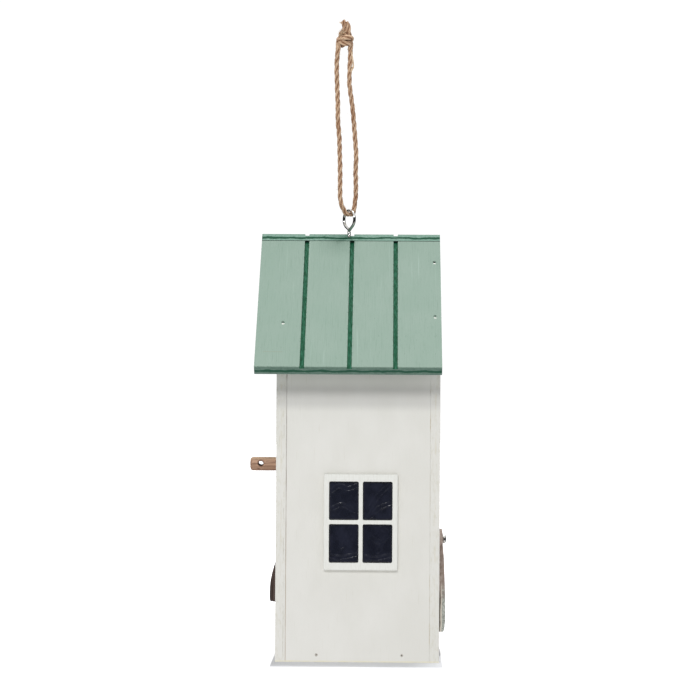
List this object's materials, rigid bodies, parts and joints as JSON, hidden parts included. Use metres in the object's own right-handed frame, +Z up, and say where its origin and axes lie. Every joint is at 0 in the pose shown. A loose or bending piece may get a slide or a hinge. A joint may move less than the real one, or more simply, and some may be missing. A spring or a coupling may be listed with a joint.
{
  "type": "birdhouse",
  "caption": "Hanging plywood birdhouse with a grooved gable roof, side windows, a drilled perch, a swinging clean-out cover and a rope loop on a screw eye.",
  "frame": {"origin": "centre of the underside of the floor panel, which is the middle of the base", "axes": "+Z up, front (entrance hole and perch) towards -Y, the ridge along Y"},
  "size_m": [0.1677, 0.1258, 0.404],
  "materials": {
    "wall_paint": "matt off-white paint over plywood, worn along the edges",
    "frame_paint": "satin white paint",
    "roof_paint": "matt sage-green paint over fine vertical grain",
    "pane_paint": "thick gloss navy-black paint with brush marks",
    "perch_wood": "oiled reddish-brown wood",
    "ornament_wood": "dark brown stained wood",
    "cover_wood": "weathered wood, brown above and grey below",
    "bright_steel": "bright plated steel",
    "brad_steel": "painted-over steel brad heads",
    "jute": "twisted jute cord, hairy"
  },
  "bodies": {
    "house": {"front_panel": "wall_paint", "back_panel": "wall_paint", "left_wall": "wall_paint", "right_wall": "wall_paint", "floor_panel": "wall_paint", "roof_panel_left": "roof_paint", "roof_panel_right": "roof_paint", "window_frame_left": "frame_paint", "window_frame_right": "frame_paint", "window_panes_left": "pane_paint", "window_panes_right": "pane_paint", "perch": "perch_wood", "front_ornament": "ornament_wood", "pivot_screw": "bright_steel", "screw_eye": "bright_steel", "rope_loop": "jute", "rope_knot": "jute", "roof_brads": "brad_steel", "front_brads": "brad_steel", "back_brads": "brad_steel", "floor_brads": "brad_steel"},
    "cover": {"cleanout_cover": "cover_wood"}
  },
  "joints": [
    {"name": "cover_swing", "type": "hinge", "parent": "house", "child": "cover", "pos_m": [0, 0.0505, 0.0724], "axis": [0, 1, 0], "continuous": true}
  ]
}
